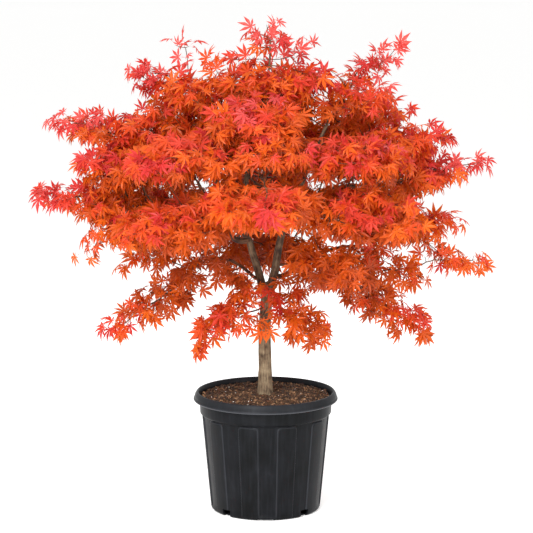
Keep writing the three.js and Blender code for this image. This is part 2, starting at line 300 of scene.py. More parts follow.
# The step runs from 0 to 1 as s squared times (3 - 2s), which has no crease at either end.
down_step = np.clip(outline / PANEL_SLOPE + 0.5, 0, 1)
drawn_in = PANEL_RELIEF * down_step**2 * (3 - 2 * down_step)
is_wall = np.arange(len(section_r))[:, None] < np.argmax(section[1:-1, 1])
fade = np.clip((section_z / MM - 4) / 10, 0, 1) * np.clip((240 - section_z / MM) / 1.5, 0, 1)
pot_r = section_r - drawn_in * MM * fade * is_wall
# Moulded walls are never true: the round wanders by a third of a millimetre.
pot_r = pot_r + 0.35 * MM * np.sin(3 * turn + 1.1)[None, :] * (section_z / POT_HEIGHT)
pot_points = np.stack([pot_r * np.cos(turn), pot_r * np.sin(turn), section_z + 0 * turn], -1)
pot_points = np.concatenate([[[0, 0, section[0, 1]]], pot_points.reshape(-1, 3), [[0, 0, section[-1, 1]]]])
pot = make_piece("pot_body", pot_points, turned_faces(len(section_r), len(turn)), [])
# A painted highlight along the panels' edges, where their step catches the light: 1 on the
# outline, 0 a few mm from it.
worn = np.exp(-((outline / EDGE_HIGHLIGHT_WIDTH) ** 2)) * fade * is_wall
store = pot.data.attributes.new("worn", "FLOAT", "POINT")
store.data.foreach_set("value", np.concatenate([[0], worn.ravel(), [0]]).astype(np.float32))
print("pot:", len(pot_points), "points,", round(POT_LIP * 2 / MM), "mm over the lip")


# %% Slots in the foot
BOX = np.array([(x, y, z) for z in (-0.5, 0.5) for y in (-0.5, 0.5) for x in (-0.5, 0.5)])
BOX_FACES = np.array([(0, 2, 3, 1), (4, 5, 7, 6), (0, 1, 5, 4), (2, 6, 7, 3), (0, 4, 6, 2), (1, 3, 7, 5)])
CUT_RADIUS, CUT_LENGTH, CUT_BELOW = 135, 24, 5  # mm
SLOT_WIDTH, SLOT_HEIGHT = 23, 17
RECESS_WIDTH, RECESS_HEIGHT = 38, 2.5


def cuts_at(bearings, width, height):
    """Points and faces of boxes that cut the foot to a width and height, each one turned to its
    bearing round the middle. Their undersides lie a little below the ground."""
    size = (CUT_LENGTH, width, CUT_BELOW + height)
    parts = []
    for angle in np.radians(bearings):
        x, y, z = ((BOX + (0, 0, 0.5)) * size).T
        x = x + CUT_RADIUS
        turned_x = x * np.cos(angle) - y * np.sin(angle)
        turned_y = x * np.sin(angle) + y * np.cos(angle)
        parts.append((np.column_stack([turned_x, turned_y, z - CUT_BELOW]) * MM, BOX_FACES))
    return join_arrays(parts)


slots = cuts_at([45, 135, 225, 315], SLOT_WIDTH, SLOT_HEIGHT)
recesses = cuts_at([90, 180, 270, 0], RECESS_WIDTH, RECESS_HEIGHT)
cutter = make_piece("slot_cutter", *join_arrays([slots, recesses]), [])
cut = pot.modifiers.new("slots", "BOOLEAN")
cut.object = cutter
cut.operation = "DIFFERENCE"
cut.solver = "EXACT"
graph = bpy.context.evaluated_depsgraph_get()
cut_mesh = bpy.data.meshes.new_from_object(pot.evaluated_get(graph))
pot.modifiers.clear()
pot.data = cut_mesh
bpy.data.objects.remove(cutter)
cut_mesh.set_sharp_from_angle(angle=math.radians(55))  # the slots' corners stay crisp
print("pot cut:", len(cut_mesh.polygons), "faces")

# %% [markdown]
# ### Black polyethylene
#
# Moulded polyethylene that is black all through. The eye sees a soft sheen, broken by a fine
# pebbled skin, fine upright streaks from the mould, and a little pale dust that has dried on the
# wall. The lip carries a painted highlight along its bead and is painted paler at its top, where
# it catches the light, and the edges of the panels carry a painted highlight. The gloss is uneven,
# because pots are stacked, scuffed and rinsed. Each of these is a colour of its own, and the
# colours are added.

# %% Pot finish
plastic, tree, shader = start_finish(
    "black_moulded_polyethylene", base_color=linear("#101113"), roughness=0.42, specular_ior_level=0.08
)
place = add_node(tree, "ShaderNodeTexCoord").outputs["Object"]
dust = add_node(tree, "ShaderNodeTexNoise", {"Vector": place, "Scale": 14, "Detail": 6, "Roughness": 0.62})
tone = add_node(tree, "ShaderNodeValToRGB", {"Fac": dust.outputs["Fac"]}, stops=[
    (0.35, linear("#0c0d0e")), (0.62, linear("#131417")), (0.80, linear("#202124"))])
# The streaks are noise stretched eighty times upwards.
upright = add_node(tree, "ShaderNodeMapping", {"Vector": place, "Scale": (1, 1, 0.012)})
streak = add_node(tree, "ShaderNodeTexNoise", {"Vector": upright.outputs["Vector"], "Scale": 150,
                                               "Detail": 2})
NOTHING = (0, 0, 0, 1)
pale = add_node(tree, "ShaderNodeValToRGB", {"Fac": streak.outputs["Fac"]}, stops=[
    (0.45, NOTHING), (0.72, linear("#0b0c0e"))])
# The lip, by share of the pot's height: a painted highlight along the bead at its lower edge, and
# painted paler at its top, where it catches the light.
height = add_node(tree, "ShaderNodeSeparateXYZ", {"Vector": place})
up_pot = add_node(tree, "ShaderNodeMath", {0: height.outputs["Z"], 1: POT_HEIGHT}, operation="DIVIDE")
lip = add_node(tree, "ShaderNodeValToRGB", {"Fac": up_pot.outputs["Value"]}, stops=[
    (0.923, NOTHING), (0.998, linear("#1b1c1e")), (0.928, linear("#58595d")),
    (0.936, linear("#28292c")), (0.95, linear("#0e0f10"))])
# The painted highlight along the panels' edges, read from the points.
worn = add_node(tree, "ShaderNodeAttribute", attribute_name="worn")
edge_highlight_tone = add_node(tree, "ShaderNodeValToRGB", {"Fac": worn.outputs["Fac"]}, stops=[
    (0, NOTHING), (1, linear("#242528"))])
skin = add_node(tree, "ShaderNodeVectorMath", {0: tone.outputs["Color"], 1: pale.outputs["Color"]})
for layer in (lip, edge_highlight_tone):
    skin = add_node(tree, "ShaderNodeVectorMath", {0: skin.outputs["Vector"], 1: layer.outputs["Color"]})
tree.links.new(skin.outputs["Vector"], shader.inputs["Base Color"])
gloss = add_node(tree, "ShaderNodeMapRange", {"Value": dust.outputs["Fac"], "From Min": 0.3,
                                              "From Max": 0.8, "To Min": 0.3, "To Max": 0.5})
tree.links.new(gloss.outputs["Result"], shader.inputs["Roughness"])
PEBBLE_MM = 1.6  # the real skin is about 0.3 mm, drawn coarser so that it shows
pebble = add_node(tree, "ShaderNodeTexNoise", {"Vector": place, "Scale": 1 / (PEBBLE_MM * MM), "Detail": 2})
bump = add_node(tree, "ShaderNodeBump", {"Height": pebble.outputs["Fac"], "Strength": 0.12,
                                         "Distance": 0.2 * MM})
bump = add_node(tree, "ShaderNodeBump", {"Height": streak.outputs["Fac"], "Strength": 0.12,
                                         "Distance": 1 * MM, "Normal": bump.outputs["Normal"]})
tree.links.new(bump.outputs["Normal"], shader.inputs["Normal"])
cut_mesh.materials.clear()
cut_mesh.materials.append(plastic)
settle(pot, "pot", "pot")

# %% [markdown]
# ## The soil
#
# Nursery soil is composted bark: brown crumbs and chips from two to fifteen millimetres long, with
# a few white beads of perlite. The bed is a turned body that fills the pot, so that it also shows
# through the slots, and its top is roughened. The chips are small uneven blocks laid on it.

# %% Soil bed
chance = np.random.default_rng(7)
SOIL_FOOT = 4.8  # mm
# The bed's outside, as distances from the middle and heights in mm: it steps in behind the slots.
bed = [(108, SOIL_FOOT), (110, 24), (131.4, 27), (150.8, 233), (153.6, 238), (159, 244), (160.2, 279),
       (159.4, 280.4)]
SOIL_RIM, SOIL_RISE = 281, 5  # mm, its height at the wall, and how much higher it is in the middle
SOIL_FLAT, SOIL_WALL = 30, 159  # mm from the middle
SOIL_RINGS, SOIL_COLUMNS = 46, 150


def soil_height(x, y):
    """Height of the soil in mm: a low dome that falls from its flat middle to the wall by a power
    of the distance, with two sizes of lumps, each a product of sines that fades at the wall."""
    r = np.hypot(x, y)
    fall = ((r - SOIL_FLAT) / (SOIL_WALL - SOIL_FLAT)).clip(0) ** 1.6
    dome = SOIL_RIM + SOIL_RISE * np.clip(1 - fall, 0, 1)
    lumps = 1.5 * np.sin(x / 13.1 + 0.7) * np.sin(y / 11.7 + 2.1)
    lumps = lumps + 1.1 * np.sin(x / 5.3 + y / 7.9) * np.sin(y / 4.7 - x / 9.1 + 1.3)
    return dome + lumps * np.clip((SOIL_WALL - r) / 12, 0, 1) - 1


turn = np.linspace(0, 2 * np.pi, SOIL_COLUMNS, endpoint=False)
ring_r = np.linspace(SOIL_WALL - 3, 3, SOIL_RINGS)
wall_rows = fill_in(np.array(bed, float), 22)
wall_points = np.stack([wall_rows[:, :1] * np.cos(turn), wall_rows[:, :1] * np.sin(turn),
                        wall_rows[:, 1:] + 0 * turn], -1)
top_x, top_y = ring_r[:, None] * np.cos(turn), ring_r[:, None] * np.sin(turn)
top_z = soil_height(top_x, top_y) + chance.normal(0, 0.45, top_x.shape)
top_points = np.stack([top_x, top_y, top_z], -1)
soil_points = np.concatenate([[[0, 0, SOIL_FOOT]], wall_points.reshape(-1, 3),
                              top_points.reshape(-1, 3), [[0, 0, soil_height(0, 0)]]]) * MM
soil_faces = turned_faces(len(wall_rows) + SOIL_RINGS, SOIL_COLUMNS)

# %% Bark chips
CHIPS, BEADS = 4200, 90
CHIP_REACH = 155  # mm from the middle


def scatter(count, shape, faces, sizes, spread, sink):
    """Lays `count` copies of a small shape on the soil. Each copy is scaled by its row of sizes,
    turned by a random rotation whose tilt is about `spread`, and sunk by `sink` of its height."""
    r = CHIP_REACH * np.sqrt(chance.random(count))
    a = 2 * np.pi * chance.random(count)
    heading, tilt_x, tilt_y = 2 * np.pi * chance.random(count), *chance.normal(0, spread, (2, count))
    ch, sh, cx, sx, cy, sy = (f(v) for v in (heading, tilt_x, tilt_y) for f in (np.cos, np.sin))
    zero, one = np.zeros(count), np.ones(count)
    spin = np.array([[ch, -sh, zero], [sh, ch, zero], [zero, zero, one]]).transpose(2, 0, 1)
    roll = np.array([[one, zero, zero], [zero, cx, -sx], [zero, sx, cx]]).transpose(2, 0, 1)
    nod = np.array([[cy, zero, sy], [zero, one, zero], [-sy, zero, cy]]).transpose(2, 0, 1)
    copies = shape[None] * sizes[:, None, :] * chance.uniform(0.72, 1.28, (count, len(shape), 1))
    copies = np.einsum("nij,nkj->nki", spin @ roll @ nod, copies)
    x, y = r * np.cos(a), r * np.sin(a)
    centre = np.stack([x, y, soil_height(x, y) + sizes[:, 2] * (0.5 - sink)], -1)
    points = (copies + centre[:, None, :]).reshape(-1, 3) * MM
    rows = faces[None] + len(shape) * np.arange(count)[:, None, None]
    return points, rows.reshape(-1, faces.shape[1])


chip_sizes = np.stack([chance.gamma(4, 1.9, CHIPS).clip(3, 17), chance.gamma(5, 0.9, CHIPS).clip(2, 8),
                       chance.uniform(1.5, 4.2, CHIPS)], -1)
chips = scatter(CHIPS, BOX, BOX_FACES, chip_sizes, spread=0.45, sink=0.25)
# A bead has twelve corners, those of three golden rectangles that cross, and is about 1 across. Its
# twenty faces are the triples of corners that lie one edge apart, turned to face outwards.
golden = (1 + 5**0.5) / 2
bead = np.array([(0, a, b * golden) for a in (-1, 1) for b in (-1, 1)], float)
bead = np.concatenate([bead, bead[:, [1, 2, 0]], bead[:, [2, 0, 1]]]) / 3.8
LONGEST_EDGE = 0.6
corners = range(len(bead))
triples = np.array([(i, j, k) for i in corners for j in corners for k in corners if i < j < k])
a, b, c = (bead[triples[:, side]] for side in range(3))
edges = [np.linalg.norm(one - other, axis=1) for one, other in ((a, b), (b, c), (c, a))]
bead_faces = triples[np.max(edges, axis=0) < LONGEST_EDGE]
a, b, c = (bead[bead_faces[:, side]] for side in range(3))
inward = np.einsum("ij,ij->i", np.cross(b - a, c - a), a) < 0
bead_faces[inward] = bead_faces[inward][:, ::-1]
bead_faces = np.column_stack([bead_faces, bead_faces[:, 2]])
bead_sizes = chance.uniform(2.6, 5.0, (BEADS, 1)) * np.ones(3)
beads = scatter(BEADS, bead, bead_faces, bead_sizes, spread=0.5, sink=0.2)
print("soil:", CHIPS, "chips and", BEADS, "beads of perlite")


# %% Soil finishes
def bark_chip(name, dark, light, roughness=0.9):
    """Composted bark: fine noise between a dark and a light brown, rough and pitted."""
    finish, tree, shader = start_finish(name, base_color=linear(light), roughness=roughness)
    place = add_node(tree, "ShaderNodeTexCoord").outputs["Object"]
    grain = add_node(tree, "ShaderNodeTexNoise", {"Vector": place, "Scale": 230, "Detail": 5,
                                                  "Roughness": 0.6})
    tone = add_node(tree, "ShaderNodeValToRGB", {"Fac": grain.outputs["Fac"]}, stops=[
        (0.34, linear(dark)), (0.68, linear(light))])
    tree.links.new(tone.outputs["Color"], shader.inputs["Base Color"])
    bump = add_node(tree, "ShaderNodeBump", {"Height": grain.outputs["Fac"], "Strength": 0.7,
                                             "Distance": 0.8 * MM})
    tree.links.new(bump.outputs["Normal"], shader.inputs["Normal"])
    return finish


soil_finishes = [
    bark_chip("damp_bark_compost", "#160e08", "#38241a"),
    bark_chip("dark_bark_chip", "#20150c", "#432c1c"),
    bark_chip("brown_bark_chip", "#38240f", "#614229"),
    bark_chip("tan_bark_chip", "#674a30", "#a27c5a"),
    start_finish("white_perlite", base_color=linear("#e9e2d8"), roughness=0.75)[0],
]
soil_points, soil_faces = join_arrays([(soil_points, soil_faces), chips, beads])
bed_count = len(soil_faces) - len(chips[1]) - len(beads[1])
chip_tint = chance.choice([1, 2, 3], CHIPS, p=[0.42, 0.43, 0.15])
tint = np.concatenate([np.zeros(bed_count), np.repeat(chip_tint, len(BOX_FACES)), np.full(len(beads[1]), 4)])
soil = make_piece("bark_compost", soil_points, soil_faces, soil_finishes, tint, smooth=False)
settle(soil, "soil", "soil")

# %% [markdown]
# ## Finding the limbs
#
# Each CAD limb is a bent cylinder with rings of points along it. Starting from the middle of the
# flat cap at its tip, the points one edge away make the first ring, the points two edges away the
# second, and so on. The middle of each ring is on the limb's centre line, and the mean distance
# from it is the radius. Rings that were cut where a limb joins older wood are left out.


# %% Centre lines
def merged_mesh(node):
    """A CAD node's points with doubles merged, and its triangles."""
    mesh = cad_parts[node].data
    points = np.zeros(len(mesh.vertices) * 3)
    mesh.vertices.foreach_get("co", points)
    points = points.reshape(-1, 3)
    corners = np.zeros(len(mesh.loops), np.int32)
    mesh.loops.foreach_get("vertex_index", corners)
    _, first, merged = np.unique(np.round(points * 1e6), axis=0, return_index=True, return_inverse=True)
    return points[first], merged.ravel()[corners].reshape(-1, 3)


def centre_line(node):
    """The middles and radii of a limb's rings, from its thick end to its tip. The tip is the cap
    that lies furthest from the top of the pot."""
    points, faces = merged_mesh(node)
    touching = np.zeros((len(points), len(points)), bool)
    for a, b in ((0, 1), (1, 2), (2, 0)):
        touching[faces[:, a], faces[:, b]] = touching[faces[:, b], faces[:, a]] = True
    neighbours = touching.sum(1)
    off_centre = np.linalg.norm(touching @ points / neighbours[:, None] - points, axis=1)
    caps = np.flatnonzero(off_centre < 0.02 * MM)
    tip = caps[np.argmax(np.linalg.norm(points[caps] - POT_HEIGHT * UP, axis=1))]
    sides = neighbours[tip]
    seen = np.zeros(len(points), bool)
    seen[tip] = True
    ring = seen.copy()
    middles, radii = [], []
    while True:
        ring = touching[ring].any(0) & ~seen
        if ring.sum() != sides:
            break
        seen |= ring
        middle = points[ring].mean(0)
        spread = np.linalg.norm(points[ring] - middle, axis=1)
        if np.ptp(spread) > 0.2 * spread.mean():
            break
        middles.append(middle)
        radii.append(spread.mean())
    return np.array(middles[::-1]), np.array(radii[::-1])


limbs = {node: centre_line(node) for node in LIMBS}
for node, (middles, radii) in limbs.items():
    print(f"  {node}: {len(middles)} rings, radius {radii[0] / MM:.1f} to {radii[-1] / MM:.1f} mm")

# %% [markdown]
# ## Wood
#
# The young maple has a grey-brown trunk with fine upright furrows, and smooth brown boughs with a
# low ring wherever a pair of leaves once stood. Each limb is a tube swept along its centre line.
# A tube needs a direction to turn from that never lies along the line; the direction in which the
# line bends least is always a safe one.


# %% Tubes along a path
SPAN = 8  # curve points from one given point to the next


def unit(rows):
    """Each row scaled to a length of one."""
    return rows / np.maximum(np.linalg.norm(rows, axis=-1, keepdims=True), 1e-12)


def smooth_path(points, radii, step):
    """Runs a Catmull-Rom curve through the points: between two points it is a cubic in t that also
    heeds the point before and the point after. Returns it spaced out evenly, with its radii."""
    ends = np.vstack([2 * points[0] - points[1], points, 2 * points[-1] - points[-2]])
    p0, p1, p2, p3 = (ends[i : len(ends) - 3 + i][:, None, :] for i in range(4))
    t = np.linspace(0, 1, SPAN, endpoint=False)[None, :, None]
    curve = 2 * p1 + (p2 - p0) * t + (2 * p0 - 5 * p1 + 4 * p2 - p3) * t**2
    curve = 0.5 * (curve + (3 * p1 - p0 - 3 * p2 + p3) * t**3)
    curve = np.vstack([curve.reshape(-1, 3), points[-1:]])
    along = np.concatenate([[0], np.cumsum(np.linalg.norm(np.diff(curve, axis=0), axis=1))])
    even = np.linspace(0, along[-1], max(4, round(along[-1] / step) + 1))
    path = np.stack([np.interp(even, along, curve[:, k]) for k in range(3)], -1)
    return path, np.interp(even, along[::SPAN], radii)


def tube(path, radii, sides):
    """Sweeps a circle along a path: at each point, middle + r (cos a, sin a) in the plane across
    the path. radii is one number a row, or one for each row and side. Both ends are closed.
    Returns points, faces, and each point's place in the unrolled bark: r cos a, r sin a, length."""
    forward = unit(np.gradient(path, axis=0))
    reference = np.linalg.svd(forward, full_matrices=False)[2][-1]
    side = unit(np.cross(forward, reference))
    other = np.cross(forward, side)
    angle = np.linspace(0, 2 * np.pi, sides, endpoint=False)
    radii = np.broadcast_to(radii.reshape(len(path), -1), (len(path), sides))[..., None]
    across = np.cos(angle)[:, None] * side[:, None] + np.sin(angle)[:, None] * other[:, None]
    rows = path[:, None] + radii * across
    length = np.concatenate([[0], np.cumsum(np.linalg.norm(np.diff(path, axis=0), axis=1))])
    ring = np.stack([np.cos(angle), np.sin(angle)], -1) * radii
    grain = np.concatenate([ring, np.broadcast_to(length[:, None, None], ring[..., :1].shape)], -1)
    tip = path[-1] + forward[-1] * radii[-1].mean() * 0.7
    points = np.concatenate([path[:1], rows.reshape(-1, 3), [tip]])
    grain = np.concatenate([[[0, 0, 0]], grain.reshape(-1, 3), [[0, 0, length[-1]]]])
    return points, turned_faces(len(path), sides), grain


# %% [markdown]
# ### Bark
#
# Old bark on the trunk is grey-brown and cracked along it into lens-shaped furrows. The two stems
# above the fork are darker and only beginning to grey. Bark on younger wood is thin, brown and
# streaked. All three patterns are noise stretched along the limb, and they read the unrolled place
# that each tube stores, so the streaks follow every bend and meet without a seam.


# %% Bark finishes
def bark_finish(name, dark, middle, light, streak_mm, roughness, depth_mm):
    """Streaked bark: noise that is stretched eight times along the limb, and cloudy noise over it."""
    finish, tree, shader = start_finish(name, base_color=linear(middle), roughness=roughness,
                                        specular_ior_level=0.35)
    grain = add_node(tree, "ShaderNodeAttribute", attribute_name="grain").outputs["Vector"]
    long = add_node(tree, "ShaderNodeMapping", {"Vector": grain, "Scale": (1, 1, 1 / 8)})
    streak = add_node(tree, "ShaderNodeTexNoise", {"Vector": long.outputs["Vector"], "Detail": 6,
                                                   "Scale": 1 / (streak_mm * MM), "Roughness": 0.6})
    cloud = add_node(tree, "ShaderNodeTexNoise", {"Vector": grain, "Scale": 48, "Detail": 4})
    both = add_node(tree, "ShaderNodeMath", {0: streak.outputs["Fac"], 1: cloud.outputs["Fac"]})
    half = add_node(tree, "ShaderNodeMath", {0: both.outputs["Value"], 1: 0.5}, operation="MULTIPLY")
    tone = add_node(tree, "ShaderNodeValToRGB", {"Fac": half.outputs["Value"]}, stops=[
        (0.37, linear(dark)), (0.62, linear(light)), (0.48, linear(middle))])
    tree.links.new(tone.outputs["Color"], shader.inputs["Base Color"])
    bump = add_node(tree, "ShaderNodeBump", {"Height": streak.outputs["Fac"], "Strength": 0.8,
                                             "Distance": depth_mm * MM})
    tree.links.new(bump.outputs["Normal"], shader.inputs["Normal"])
    return finish


old_bark = bark_finish("furrowed_maple_bark", "#3c3024", "#6f5d48", "#948468", 4.0, 0.86, 1.2)
stem_bark = bark_finish("greying_maple_bark", "#2a1f17", "#54402f", "#7c6850", 3.5, 0.8, 0.8)
young_bark = bark_finish("smooth_maple_bark", "#22130b", "#4f2f1c", "#7a5436", 3.0, 0.7, 0.5)

# %% Relief of the bark
chance = np.random.default_rng(31)


def furrows(along, sides, depth):
    """Relief of old bark: five sets of upright waves round the limb, each one swaying along it, as a
    sum of squared sines. The more waves in a set, the shallower they are. Lengths are in metres."""
    angle = np.linspace(0, 2 * np.pi, sides, endpoint=False)[None, :]
    relief = np.zeros((len(along), sides))
    for waves in (4, 7, 11, 17, 26):
        sway = 2.2 * np.sin(along / chance.uniform(0.02, 0.05) + chance.uniform(0, 6))[:, None]
        wave = np.sin(waves * angle + sway + chance.uniform(0, 6))
        patch = 0.6 + 0.4 * np.sin(along / chance.uniform(0.012, 0.03) + chance.uniform(0, 6))[:, None]
        relief -= wave**2 * patch * depth * (4 / waves) ** 0.4
    return relief


def leaf_rings(along, spacing):
    """A low ring every `spacing` or so along young wood: a sum of narrow bell curves."""
    places = np.cumsum(chance.uniform(0.75, 1.25, int(along[-1] / spacing) + 1)) * spacing
    return np.exp(-(((along[:, None] - places) / (2.4 * MM)) ** 2)).sum(1)


def foot_relief(along, sides):
    """What the trunk's foot adds to its radius: three low buttresses that fade upwards, and a knot on
    one side where a first shoot was cut off."""
    angle = np.linspace(0, 2 * np.pi, sides, endpoint=False)
    buttress = np.exp(-((along - 18 * MM).clip(0)) / (13 * MM))[:, None]
    knot = np.exp(-(((along - 60 * MM) / (7 * MM)) ** 2))[:, None]
    relief = buttress * 1.6 * MM * np.sin(3 * angle + 0.6)
    return relief + knot * 1.5 * MM * (0.5 + 0.5 * np.sin(angle + 2.2))


# %% Paths of the limbs
# The trunk's rings stop above the soil. These rows, from its lowest ring down, take it under.
FOOT_ROWS = np.array([[0.8, 0, -48], [0.6, 0, -34], [0.3, 0, -17]]) * MM
FOOT_RADII = np.array([21.6, 20.4, 18.6]) * MM
OLD_WOOD = LIMBS[:3]
BELOW_FORK = 7  # rows of the trunk
PATH_STEP = 3 * MM
paths = {}
for node in LIMBS:
    middles, radii = limbs[node]
    if node == "trunk":
        middles = np.vstack([middles[0] + FOOT_ROWS, middles])
        radii = np.concatenate([FOOT_RADII, radii])
    else:
        # A bough starts on the line of the nearest old wood, and a stem inside the trunk.
        wood = np.vstack([paths[old][0] for old in OLD_WOOD if old in paths])
        nearest = np.argmin(np.linalg.norm(wood - middles[0], axis=1))
        root = wood[max(0, nearest - 2)]
        if node.startswith("stem"):
            root = paths["trunk"][0][-BELOW_FORK] + 0.35 * (middles[0] - wood[-1]) * (1, 1, 0)
        middles = np.vstack([root, middles])
        radii = np.concatenate([radii[:1] * 1.05, radii])
    paths[node] = smooth_path(middles, radii, PATH_STEP)
print("limbs:", len(paths), "paths,", sum(len(path) for path, _ in paths.values()), "rows")

# %% Limbs with their bark
SIDES = {"trunk": 96, "stem": 48, "bough": 24}
BARKS = {"trunk": old_bark, "stem": stem_bark, "bough": young_bark}
SLOTS = {"trunk": "bark", "stem": "bark", "bough": "young_bark"}
RING_SPACING = 52 * MM
for node, (path, radii) in paths.items():
    kind = node.split("_")[0]
    along = np.concatenate([[0], np.cumsum(np.linalg.norm(np.diff(path, axis=0), axis=1))])
    surface = radii[:, None] + furrows(along, SIDES[kind], 0.02 * radii.max())
    if node == "trunk":
        surface += foot_relief(along, SIDES[kind])
    else:
        swelling = 0.22 * radii[0] * np.exp(-((along / (1.6 * radii[0])) ** 2))  # at its root
        surface += 0.055 * radii[:, None] * leaf_rings(along, RING_SPACING)[:, None]
        surface += swelling[:, None]
    points, faces, grain = tube(path, surface, SIDES[kind])
    piece = make_piece(node + "_bark", points, faces, [BARKS[kind]])
    store = piece.data.attributes.new("grain", "FLOAT_VECTOR", "POINT")
    store.data.foreach_set("vector", grain.astype(np.float32).ravel())
    settle(piece, SLOTS[kind], node)
print("bark on", len(paths), "limbs")

# %% [markdown]
# ## Growing the twigs
#
# A tree fills its crown by a simple rule: every bit of free light pulls the nearest bud towards
# it. So points are strewn through the CAD leaf masses, each one pulls on the nearest piece of
# wood, wood grows one short step along the sum of its pulls, and a point is used up when wood
# comes near it. The forks, the sweep and the spacing of real twigs follow by themselves, and
# where there is no mass, the sky stays open. A thin mass keeps fewer of its light points, and so
# gets fewer twigs, which is how the crown is made loose at its rim and dense in its body.

# %% Inside or outside a mass
mass_meshes = [merged_mesh(node) for node in LEAF_NODES]
mass_low = np.array([points.min(0) for points, _ in mass_meshes])
mass_high = np.array([points.max(0) for points, _ in mass_meshes])
all_points, all_faces = join_arrays(mass_meshes)
mass_of_face = np.repeat(np.arange(len(LEAF_NODES)), [len(faces) for _, faces in mass_meshes])
masses = BVHTree.FromPolygons(all_points.tolist(), all_faces.tolist())


def depth_in_mass(points):
    """How deep each point lies inside the nearest mass, negative outside, and which mass it is:
    the distance to the nearest face, signed by that face's outward normal and the mass's box."""
    feet = [masses.find_nearest(point) for point in points.tolist()]
    foot, normal = (np.array([tuple(f[k]) for f in feet]) for k in (0, 1))
    owner = mass_of_face[[f[2] for f in feet]]
    depth = np.array([f[3] for f in feet])
    in_box = ((points > mass_low[owner]) & (points < mass_high[owner])).all(1)
    inside = (((foot - points) * normal).sum(1) > 0) & in_box
    return np.where(inside, depth, -depth), owner


# %% How full each mass is
# The share of its light points that a mass keeps, where it is not the usual one.
USUAL_SHARE, INNER_SHARE = 0.78, 0.72
SHARES = {
    "spire": 0.62, "crown": 0.65, "top_left": 0.45, "top_right": 0.6,
    "left_top": 0.3, "left_upper": 0.6, "left_high": 0.6, "left_twig": 1,
    "right_top": 0.4, "right_upper": 0.6, "right_high": 0.65, "right_tip": 0.8,
    "left_long": 0.6, "left_mid": 0.62, "left_under": 0.52, "left_low": 0.42,
    "right_long": 0.5, "right_under": 0.42, "right_low": 0.42,
    "front_left": 0.52, "front_right": 0.52, "front_low_right": 0.46,
    "back_left": 0.42, "back_right": 0.42, "back_low": 0.62,
    "left_fall": 0.6, "right_fall": 0.5, "skirt_left": 0.66, "skirt_right": 0.6,
}
mass_share = np.array([SHARES.get(node.replace("leaves_", ""), USUAL_SHARE) for node in LEAF_NODES])
CROWN_MIDDLE, CROWN_HALF = np.array([0, 0, 0.74]), np.array([0.60, 0.54, 0.48])
OUTER, UNDERSIDE = 0.72, 0.7  # how far out, and the height in metres, where the loose rim starts
RIM_MARGIN, INNER_MARGIN = 10 * MM, -5 * MM


def from_middle(points):
    """How far out in the crown each point is: 0 in its middle and about 1 on its outline."""
    return np.linalg.norm((points - CROWN_MIDDLE) / CROWN_HALF, axis=1)


# %% Light points
chance = np.random.default_rng(2024)
SPACING = 22 * MM
grid = [np.arange(a, b, SPACING) for a, b in zip(all_points.min(0), all_points.max(0))]
lights = np.stack(np.meshgrid(*grid, indexing="ij"), -1).reshape(-1, 3)
lights = lights + chance.uniform(-0.45, 0.45, lights.shape) * SPACING
depth, owner = depth_in_mass(lights)
thickest = np.array([depth[owner == k].max(initial=0) for k in range(len(LEAF_NODES))])
is_outer = (from_middle(lights) > OUTER) | (lights[:, 2] < UNDERSIDE)
margin = np.where(is_outer, np.minimum(RIM_MARGIN, 0.35 * thickest[owner]), INNER_MARGIN)
# Crowns are clumpy: the light points thin out where a slow wave through the crown is low.
wave = np.sin(lights / (17 * MM) + (0.4, 1.9, 3.1)) + 0.7 * np.sin(lights[:, [1, 2, 0]] / (29 * MM) + 1.3)
clump = 1 + 0.12 * wave.sum(1)
chosen = chance.random(len(lights)) < np.where(is_outer, mass_share[owner], INNER_SHARE) * clump
chosen &= depth > margin
lights, light_owner = lights[chosen], owner[chosen]
# A few more shoots hang round the fork: a box's low and high corner in metres, and its points.
FORK_SHOOTS = [
    ((-0.065, -0.085, 0.475), (0.065, -0.03, 0.59), 28),
    ((-0.20, -0.10, 0.585), (-0.05, -0.01, 0.645), 26),
    ((0.07, -0.10, 0.575), (0.21, -0.01, 0.66), 26),
]
shoots = np.vstack([chance.uniform(low, high, (count, 3)) for low, high, count in FORK_SHOOTS])
lights = np.vstack([lights, shoots])
light_owner = np.append(light_owner, np.full(len(shoots), LEAF_NODES.index("leaves_skirt_left")))
print("light points:", len(lights))


# %% Growth
STEP, REACH = 11 * MM, 13.5 * MM  # a light is used up when wood is within reach of it
ROUNDS = 400
KEPT_WAY, WOBBLE = 0.3, 0.08  # how far a shoot keeps its heading, and how far it strays
CROWDED = 0.45  # steps from other wood


def grow(points, lights):
    """Grows wood from the given points towards the lights. Returns all points and the number of
    the point that each one grew from, which is -1 for the ones it began with."""
    grown_from = np.full(len(points), -1)
    heading = np.zeros_like(points)
    nearest = np.zeros(len(lights), int)
    gap = np.full(len(lights), np.inf)
    fresh = 0
    for _ in range(ROUNDS):
        away = np.linalg.norm(lights[:, None] - points[None, fresh:], axis=2)
        closer = away.min(1) < gap
        nearest[closer] = away[closer].argmin(1) + fresh
        gap = np.minimum(gap, away.min(1))
        keep = gap > REACH
        lights, nearest, gap = lights[keep], nearest[keep], gap[keep]
        if not len(lights):
            break
        pull = np.zeros_like(points)
        np.add.at(pull, nearest, unit(lights - points[nearest]))
        buds = np.unique(nearest)
        stray = chance.normal(0, WOBBLE, (len(buds), 3))
        way = unit(unit(pull[buds]) + KEPT_WAY * heading[buds] + stray)
        shoots = points[buds] + STEP * way
        fresh = len(points)
        # A shoot that would lie on an older one is dropped, and the lights that asked for it too.
        crowd = np.linalg.norm(shoots[:, None] - points[None], axis=2).min(1) < CROWDED * STEP
        blocked = np.isin(nearest, buds[crowd])
        lights, nearest, gap = lights[~blocked], nearest[~blocked], gap[~blocked]
        points = np.vstack([points, shoots[~crowd]])
        heading = np.vstack([heading, way[~crowd]])
        grown_from = np.concatenate([grown_from, buds[~crowd]])
        if not len(lights) or len(points) == fresh:
            break
    return points, grown_from


